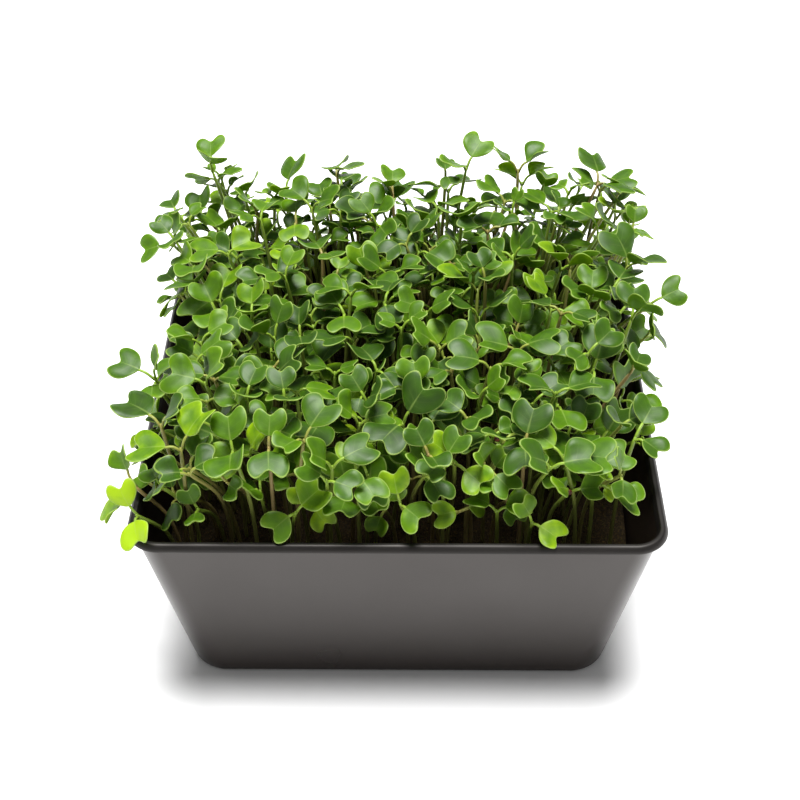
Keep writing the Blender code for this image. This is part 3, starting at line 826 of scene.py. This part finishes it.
def join(parts):
    """One set of arrays from several, with the point numbers of each raised past those before it."""
    starts = np.concatenate([[0], np.cumsum([len(part[0]) for part in parts])[:-1]])
    points = np.concatenate([part[0] for part in parts])
    quads = np.concatenate([part[1] + start for part, start in zip(parts, starts)])
    triangles = np.concatenate([part[2] + start for part, start in zip(parts, starts)])
    rest = [np.concatenate([part[slot] for part in parts]) for slot in range(3, 7)]
    return points, quads, triangles, *rest


FINE_LEAF = leaf_template(22, 3)
ROUGH_LEAF = leaf_template(8, 1)

# Seedlings: fillers
# The real tray is sown more densely than the model. The plants between are drawn by the same rule,
# each kept only where it crosses neither the tray nor a plant that stands there.
SOWN_HALF = 0.0645
ROOT_LIMIT = 0.0665
# Three passes, the last of which closes the canopy at the back. Each has the number of fillers in
# all, the draws allowed, the foremost place, the lowest and highest rank, and the size of the leaves.
FILLER_PASSES = [
    (150, 4000, -SOWN_HALF, 0.00, 1.05, 0.92),
    (280, 9000, -SOWN_HALF, 0.00, 1.05, 0.74),
    (340, 4500, 0.0350, 0.50, 1.00, 0.64),
]
FILLER_SEED = 23
# How far the leaves reach beyond the tray. The left and right limits go with the place from front to
# back, and the front limit goes with the height above the rim.
LEFT_EDGE = [(-0.070, 0.074), (-0.048, 0.086), (-0.032, 0.079), (0.012, 0.079), (0.035, 0.088)]
RIGHT_EDGE = [(-0.065, 0.070), (-0.045, 0.079), (-0.005, 0.088)]
FRONT_EDGE = [(0.000, 0.075), (0.020, 0.081)]
BACK_EDGE = 0.086
LOWEST_LEAF = MEDIUM_TOP + 0.008
# Tone runs from dark green at 0 to yellow at 1: its mean and scatter over the plants, its scatter
# over the leaves, and what it gains low at the front and in the left corner. That gain is painted
# light: the yellow glow of the lamp shining through those leaves.
TONE = (0.29, 0.15)
LEAF_TONE_SCATTER = 0.08
LOWEST_TONE = 0.02
FRONT_PAINTED_GLOW = 0.22
FRONT_HEIGHT = 0.024
FRONT_START = -0.045
FRONT_DEPTH = 0.015
CORNER_PAINTED_GLOW = 0.45
CORNER_PLACE = (-0.070, -0.068)
# The waves of a leaf: swell, phase, curl of the lobes, and how much longer one lobe is.
WAVES = ((0.10, 0.32), (0.0, 2 * math.pi), (-0.34, 0.18), (-0.10, 0.10))


def finish_plant(plant, draw):
    """Adds the tones of a seedling, with painted glow low at the front and in the corner, its blush and
    waves.
    """
    x, y, z = plant["stem"][2]
    low = np.clip(1.0 - (z - TRAY_HEIGHT) / FRONT_HEIGHT, 0.0, 1.0)
    front = np.clip((FRONT_START - y) / FRONT_DEPTH, 0.0, 1.0)
    corner = CORNER_PAINTED_GLOW if x < CORNER_PLACE[0] and y < CORNER_PLACE[1] else 0.0
    # Painted light: low plants at the front and plants in the left corner are made yellower, as a glow of
    # light through their leaves.
    tone = draw.normal(*TONE) + FRONT_PAINTED_GLOW * (low * front) + corner
    plant["tone"] = float(np.clip(tone, LOWEST_TONE, 1.0))
    leaf_tones = [tone + draw.normal(0.0, LEAF_TONE_SCATTER) for _ in range(2)]
    plant["leaf_tones"] = [float(np.clip(leaf_tone, LOWEST_TONE, 1.0)) for leaf_tone in leaf_tones]
    plant["blush"] = float(draw.uniform(0.0, 1.0))
    plant["waves"] = [[draw.uniform(*limits) for limits in WAVES] for _ in range(2)]
    return plant


def outside(points):
    """Whether a leaf hangs out or down further than those of a well kept tray do."""
    x, y, z = points.T
    left = np.interp(y, *zip(*LEFT_EDGE))
    right = np.interp(y, *zip(*RIGHT_EDGE))
    front = np.interp(z - TRAY_HEIGHT, *zip(*FRONT_EDGE))
    return bool(np.any((x > right) | (x < -left) | (y < -front) | (y > BACK_EDGE) | (z < LOWEST_LEAF)))


def tree_of(points, quads, triangles):
    """A search tree of a body's faces, and its lowest and highest corner."""
    faces = [*map(tuple, quads.tolist()), *map(tuple, triangles.tolist())]
    tree = BVHTree.FromPolygons(list(map(tuple, points.tolist())), faces)
    return tree, points.min(axis=0), points.max(axis=0)


look_draw = np.random.RandomState(FILLER_SEED)
standing = [finish_plant(plant, look_draw) for plants in clumps for plant in plants]
trees = [tree_of(tray_points, tray_sides, tray_fans)]
trees += [tree_of(*plant_mesh(plant, ROUGH_LEAF, *ROUGH_STEPS)[:3]) for plant in standing]
lows = np.array([tree[1] for tree in trees])
highs = np.array([tree[2] for tree in trees])
added = 0
filler_draws = [(wanted, *rest) for wanted, draws, *rest in FILLER_PASSES for _ in range(draws)]
for wanted, foremost, lowest_rank, highest_rank, size in filler_draws:
    if added >= wanted:
        continue
    place = np.array([look_draw.uniform(-SOWN_HALF, SOWN_HALF), look_draw.uniform(foremost, SOWN_HALF)])
    plant = draw_plant(look_draw, place, look_draw.uniform(lowest_rank, highest_rank))
    scale = (size, size, size, 1.0, 1.0)
    plant["blades"] = [(*angles, tuple(np.multiply(shape, scale))) for *angles, shape in plant["blades"]]
    plant = finish_plant(plant, look_draw)
    rough = plant_mesh(plant, ROUGH_LEAF, *ROUGH_STEPS)
    root = plant["stem"][0][:2]
    # The first third of the points are those of the stem and of the start of a stalk.
    leaf_points = rough[0][len(rough[0]) // 3 :]
    if np.abs(root).max() > ROOT_LIMIT or outside(leaf_points):
        continue
    tree, low, high = tree_of(*rough[:3])
    near = np.nonzero(np.all((lows < high) & (highs > low), axis=1))[0]
    if any(trees[other][0].overlap(tree) for other in near):
        continue
    trees.append((tree, low, high))
    lows = np.vstack([lows, low])
    highs = np.vstack([highs, high])
    nearest = int(np.argmin([math.hypot(root[0] - x, root[1] - y) for x, y in places]))
    clumps[nearest].append(plant)
    added += 1
print("plants between them:", added)

# Seedlings: materials
# The leaf is waxy and a little glaucous: a faint grey over green, partly its wax bloom and partly a
# painted sheen, a thin yellow-green margin, a pale midrib and faint side veins. Light comes through
# it yellower than it went in.
TONE_STOPS = (0.0, 0.35, 0.65, 0.85, 1.0)

upper_skin = new_material("waxy_seed_leaf_upper_side")
under_skin = new_material("waxy_seed_leaf_underside")
# Each side has its greens from the darkest to the yellowest, the colour of its veins, its roughness
# and the share of light that goes through.
leaf_looks = [
    (upper_skin, ("#233f08", "#3a6004", "#588202", "#7ea406", "#a6c810"), "#b0ca66", 0.46, 0.28),
    (under_skin, ("#35560c", "#4c7608", "#68920a", "#8aae0c", "#b4ce14"), "#b0cc58", 0.52, 0.34),
]
for skin, greens, pale, roughness, through in leaf_looks:
    fan = add_node(skin, "SeparateXYZ", {0: add_node(skin, "UVMap", {"uv_map": "fan"})})
    look = add_node(skin, "SeparateXYZ", {0: add_node(skin, "UVMap", {"uv_map": "look"})})
    place = add_node(skin, "TexCoord").outputs["Object"]
    # Blotches of about 3 mm.
    blotch = add_node(skin, "TexNoise", {"Scale": 330.0, "Detail": 3.0, "Vector": place})
    shift = add_range(skin, blotch, 0.3, 0.7, -0.10, 0.10)
    # The green grows lighter over the last 3 mm before the margin, and the middle is greyer: partly the
    # wax bloom and partly painted sheen.
    border = add_range(skin, look.outputs["X"], 0.0, 0.28, 0.26, 0.0)
    tone = add_math(skin, "ADD", look.outputs["Y"], shift)
    tone = add_math(skin, "ADD", tone, border)
    green = add_node(skin, "ValToRGB", {"stops": [*zip(TONE_STOPS, greens)], "Fac": tone})
    bloom_and_sheen = add_range(skin, look.outputs["X"], 0.06, 0.36, 0.0, 0.12)
    green = add_mix(skin, bloom_and_sheen, green, paint("#7a9a50"))
    # Side veins: six on either side, about 1.3 mm apart, fading before the margin.
    ripple = add_math(skin, "MULTIPLY_ADD", fan.outputs["Y"], 6.0, 0.2)
    ripple = add_math(skin, "PINGPONG", ripple, 0.5)
    vein = add_range(skin, ripple, 0.0, 0.10, 0.08, 0.0)
    far = add_math(skin, "ABSOLUTE", fan.outputs["X"])
    fade = add_range(skin, far, 0.2, 0.9, 1.0, 0.0)
    vein = add_math(skin, "MULTIPLY", vein, fade)
    # The midrib: the distance across is the fan's share times the sine of the angle.
    turn = add_math(skin, "MULTIPLY", fan.outputs["Y"], math.pi)
    across = add_math(skin, "MULTIPLY", far, add_math(skin, "SINE", turn))
    thin = add_range(skin, fan.outputs["Y"], 0.0, 1.0, 0.090, 0.016)
    rib = add_range(skin, across, 0.0, thin, 0.32, 0.0)
    margin = add_range(skin, look.outputs["X"], 0.0, 0.014, 0.62, 0.0)
    sunk = add_math(skin, "MAXIMUM", vein, rib)
    lines = add_math(skin, "MAXIMUM", sunk, margin)
    colour = add_mix(skin, lines, green, paint(pale))
    bump = add_node(skin, "Bump", {"Strength": 0.25, "Distance": 0.0002, "invert": True, "Height": sunk})
    wax = add_node(skin, "BsdfPrincipled", {
        "Base Color": colour, "Roughness": roughness, "Normal": bump,
        "IOR": 1.52, "Specular IOR Level": 0.40,
    })
    bright = add_mix(skin, 0.55, colour, paint("#b4d820"))
    glow = add_node(skin, "BsdfTranslucent", {"Color": bright})
    surface = add_node(skin, "MixShader", {"Fac": through, 1: wax, 2: glow})
    add_node(skin, "OutputMaterial", {"Surface": surface})

# Stems run from buff at the root to green at the leaves, and some blush pink.
stem_greens = [(0.0, "#8a8452"), (0.5, "#78823a"), (0.85, "#76902e"), (1.0, "#8cac34")]
stem_pinks = [(0.0, "#907a54"), (0.5, "#8a754c"), (0.9, "#927c4c"), (1.0, "#90a040")]
stem_skin = new_material("pale_sprout_stem")
fan = add_node(stem_skin, "SeparateXYZ", {0: add_node(stem_skin, "UVMap", {"uv_map": "fan"})})
green = add_node(stem_skin, "ValToRGB", {"stops": stem_greens, "Fac": fan.outputs["X"]})
pink = add_node(stem_skin, "ValToRGB", {"stops": stem_pinks, "Fac": fan.outputs["X"]})
blush = add_range(stem_skin, fan.outputs["Y"], 0.5, 1.0, 0.0, 1.0)
colour = add_mix(stem_skin, blush, green, pink)
surface = add_node(stem_skin, "BsdfPrincipled", {"Base Color": colour, "Roughness": 0.42, "IOR": 1.42})
add_node(stem_skin, "OutputMaterial", {"Surface": surface})

# Seedlings: the clumps
# Each clump of the model becomes one piece: its own plants, and the fillers that stand nearest to it.
# Stems, stalks and leaves are joined into one mesh, with a skin for the stems and for each leaf side.
for number, (plants, node_name) in enumerate(zip(clumps, clump_nodes)):
    made = join([plant_mesh(plant, FINE_LEAF, *FINE_STEPS) for plant in plants])
    points, quads, triangles, quad_kind, triangle_kind, fan, look = made
    skins = [stem_skin, upper_skin, under_skin]
    piece = make_piece(f"seedlings_{number + 1:02d}", points, quads, triangles, skins)
    mesh = piece.data
    kinds = np.concatenate([quad_kind, triangle_kind])
    mesh.polygons.foreach_set("material_index", kinds.astype(np.int32))
    corners = np.concatenate([quads.ravel(), triangles.ravel()])
    for name, values in (("fan", fan), ("look", look)):
        mesh.uv_layers.new(name=name).data.foreach_set("uv", values[corners].astype(np.float32).ravel())
    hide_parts(node_name)
    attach(piece, "root")

# Seed hulls
# The empty seed coats, dark red-brown papery cups of about 2 mm, left when the leaves slipped out. Most
# lie on the peat, and two cling to leaves that carried them up, at places given in pixels of the view.
HULL_RADIUS = 0.00105
HULL_WALL = 0.00016
HULL_OPENING = math.radians(118)
HULL_STEPS = 9
HULL_SIDES = 14
# Each cup has a small flat at its pole, is dented and flattened, and lies tipped by some angle. It
# lies this share of its radius above the peat or the leaf.
HULL_POLE = 0.12
HULL_DENT = 0.10
HULL_FLATNESS = 0.82
HULL_TILT = (0.3, 2.6)
HULL_SEED = 31
LYING_HULLS = 26
LYING_HALF = 0.068
STEM_CLEARANCE = 0.0019
LYING_RISE = 0.6
CARRIED_RISE = 0.4
CARRIED_AT = [(497, 439), (569, 492)]
VIEW_WIDTH = 800

hull_skin = new_material("dry_brown_seed_hull")
place = add_node(hull_skin, "TexCoord").outputs["Object"]
# Patches of about 0.7 mm, as the dried coat is mottled.
mottle = add_node(hull_skin, "TexNoise", {"Scale": 1500.0, "Detail": 3.0, "Vector": place})
hull_stops = [(0.35, "#2e120b"), (0.55, "#54210f"), (0.75, "#7a3a1e")]
browns = add_node(hull_skin, "ValToRGB", {"stops": hull_stops, "Fac": mottle})
surface = add_node(hull_skin, "BsdfPrincipled", {"Base Color": browns, "Roughness": 0.5})
add_node(hull_skin, "OutputMaterial", {"Surface": surface})


def hull_mesh(centre, draw):
    """Points and faces of one cup: down its outside from the pole to the lip, and up the inside."""
    down = np.linspace(HULL_POLE, HULL_OPENING, HULL_STEPS)
    turn = np.concatenate([down, np.linspace(HULL_OPENING, HULL_POLE, HULL_STEPS)])
    radius = np.repeat([HULL_RADIUS, HULL_RADIUS - HULL_WALL], HULL_STEPS)
    around = np.arange(HULL_SIDES) * 2 * math.pi / HULL_SIDES
    dent = 1.0 + HULL_DENT * np.sin(2.0 * around + draw.uniform(0.0, 6.0)) * np.sin(turn)[:, None] ** 2
    flat = (radius * np.sin(turn))[:, None] * dent
    high = np.repeat((radius * np.cos(turn))[:, None], HULL_SIDES, axis=1)
    across = flat * np.cos(around)
    deep = HULL_FLATNESS * flat * np.sin(around)
    rings = np.stack([across, deep, high], axis=2).reshape(-1, 3)
    poles = [(0.0, 0.0, HULL_RADIUS), (0.0, 0.0, HULL_RADIUS - HULL_WALL)]
    spin = Matrix.Rotation(draw.uniform(0.0, 2 * math.pi), 3, "Z")
    tilt = Matrix.Rotation(draw.uniform(*HULL_TILT), 3, "X")
    points = np.concatenate([rings, poles]) @ np.array(spin @ tilt).T + centre
    outer = np.arange(HULL_SIDES)
    inner = outer + (2 * HULL_STEPS - 1) * HULL_SIDES
    fans = np.concatenate([fan_faces(outer, len(rings), True), fan_faces(inner, len(rings) + 1, False)])
    return points, grid_faces(2 * HULL_STEPS, HULL_SIDES, True)[:, ::-1], fans


def first_seen(pixel):
    """The point of the seedlings that the camera sees at a pixel: the nearest hit of its sight line."""
    x = (pixel[0] - VIEW_WIDTH / 2) / VIEW_WIDTH
    y = (VIEW_WIDTH / 2 - pixel[1]) / VIEW_WIDTH
    sight = (camera.matrix_world.to_3x3() @ Vector((x, y, -LENS / SENSOR_WIDTH))).normalized()
    hits = [tree.ray_cast(Vector(CAMERA_PLACE), sight) for tree, _, _ in trees]
    reach = min(hit[3] for hit in hits if hit[0] is not None)
    return np.array(Vector(CAMERA_PLACE) + sight * (reach - CARRIED_RISE * HULL_RADIUS))


hull_draw = np.random.RandomState(HULL_SEED)
stems = np.array([plant["stem"][0][:2] for plants in clumps for plant in plants])
hull_places = []
while len(hull_places) < LYING_HULLS:
    spot = hull_draw.uniform(-LYING_HALF, LYING_HALF, 2)
    if np.linalg.norm(stems - spot, axis=1).min() > STEM_CLEARANCE:
        hull_places.append((*spot, MEDIUM_TOP + LYING_RISE * HULL_RADIUS))
hull_places += [first_seen(pixel) for pixel in CARRIED_AT]
empty = [np.zeros(0)] * 4
hulls = join([(*hull_mesh(np.array(centre), hull_draw), *empty) for centre in hull_places])
hull_piece = make_piece("seed_hulls", *hulls[:3], [hull_skin])
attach(hull_piece, "root")
